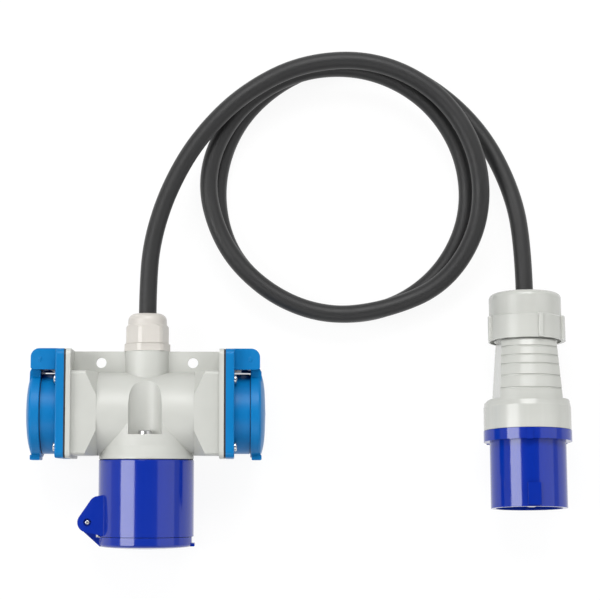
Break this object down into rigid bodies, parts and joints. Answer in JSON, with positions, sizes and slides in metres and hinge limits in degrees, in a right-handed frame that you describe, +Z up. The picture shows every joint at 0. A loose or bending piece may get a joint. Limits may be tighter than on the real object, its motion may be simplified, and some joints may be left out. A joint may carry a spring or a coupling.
{
  "type": "portable power distribution box",
  "caption": "T-shaped splitter box with two lidded side outlets, one lidded round coupling, a cable gland and a coiled rubber cord ending in a round pin plug.",
  "frame": {"origin": "middle of the box, without its cord and plug, on the surface it lies on", "axes": "+X along the outlet axis towards the right outlet, +Y from the coupling towards the cable gland, +Z up from the surface"},
  "size_m": [0.3131, 0.2942, 0.0547],
  "materials": {
    "royal_plastic": "gloss",
    "contact_brass": "bright",
    "screw_steel": "bright",
    "seal_rubber": "matte",
    "pin_steel": "bright",
    "lid_seal_rubber": "matte",
    "spring_steel": "bright",
    "cable_rubber": "satin",
    "gland_grey": "satin",
    "housing_grey": "satin",
    "nickel_spring": "bright",
    "azure_plastic": "satin",
    "pin_nickel": "bright",
    "plug_grey": "satin",
    "wire_blue": "satin",
    "wire_brown": "satin",
    "wire_green_yellow": "satin"
  },
  "bodies": {
    "box": {"cee_collar": "royal_plastic", "cee_contact_carrier": "royal_plastic", "cee_contact_sleeves": "contact_brass", "cee_fixing_screws": "screw_steel", "cee_gasket": "seal_rubber", "cee_lid_pin": "pin_steel", "cee_lid_spring": "spring_steel", "cee_terminal_screws": "screw_steel", "cord": "cable_rubber", "gland_body": "gland_grey", "gland_cap_nut": "gland_grey", "gland_o_ring": "seal_rubber", "gland_seal": "seal_rubber", "housing_shell": "housing_grey", "left_contact_sleeves": "contact_brass", "left_earth_clips": "nickel_spring", "left_frame_screws": "screw_steel", "left_lid_pin": "pin_steel", "left_lid_spring": "spring_steel", "left_socket_frame": "azure_plastic", "left_socket_gasket": "seal_rubber", "left_socket_insert": "azure_plastic", "plug_earth_pin": "pin_nickel", "plug_grip": "plug_grey", "plug_line_pins": "pin_nickel", "plug_nut": "plug_grey", "plug_pin_carrier": "royal_plastic", "plug_seal": "seal_rubber", "plug_shroud": "royal_plastic", "right_contact_sleeves": "contact_brass", "right_earth_clips": "nickel_spring", "right_frame_screws": "screw_steel", "right_lid_pin": "pin_steel", "right_lid_spring": "spring_steel", "right_socket_frame": "azure_plastic", "right_socket_gasket": "seal_rubber", "right_socket_insert": "azure_plastic", "wire_blue": "wire_blue", "wire_brown": "wire_brown", "wire_green_yellow": "wire_green_yellow"},
    "left_lid": {"left_lid": "azure_plastic", "left_lid_seal": "lid_seal_rubber"},
    "right_lid": {"right_lid": "azure_plastic", "right_lid_seal": "lid_seal_rubber"},
    "cee_lid": {"cee_lid": "royal_plastic", "cee_lid_seal": "lid_seal_rubber"}
  },
  "joints": [
    {"name": "left_lid_hinge", "type": "hinge", "parent": "box", "child": "left_lid", "pos_m": [-0.0593, 0.0399, 0.0272], "axis": [0, 0, -1], "range_deg": [0, 100], "stiffness_Nm_per_rad": 0.02, "springref_deg": -68.75, "deforming": ["left_lid_spring"]},
    {"name": "right_lid_hinge", "type": "hinge", "parent": "box", "child": "right_lid", "pos_m": [0.0593, 0.0399, 0.0272], "axis": [0, 0, 1], "range_deg": [0, 100], "stiffness_Nm_per_rad": 0.02, "springref_deg": -68.75, "deforming": ["right_lid_spring"]},
    {"name": "cee_lid_hinge", "type": "hinge", "parent": "box", "child": "cee_lid", "pos_m": [-0.0324, -0.0518, 0.0272], "axis": [0, 0, -1], "range_deg": [0, 110], "stiffness_Nm_per_rad": 0.025, "springref_deg": -68.75, "deforming": ["cee_lid_spring"]}
  ]
}
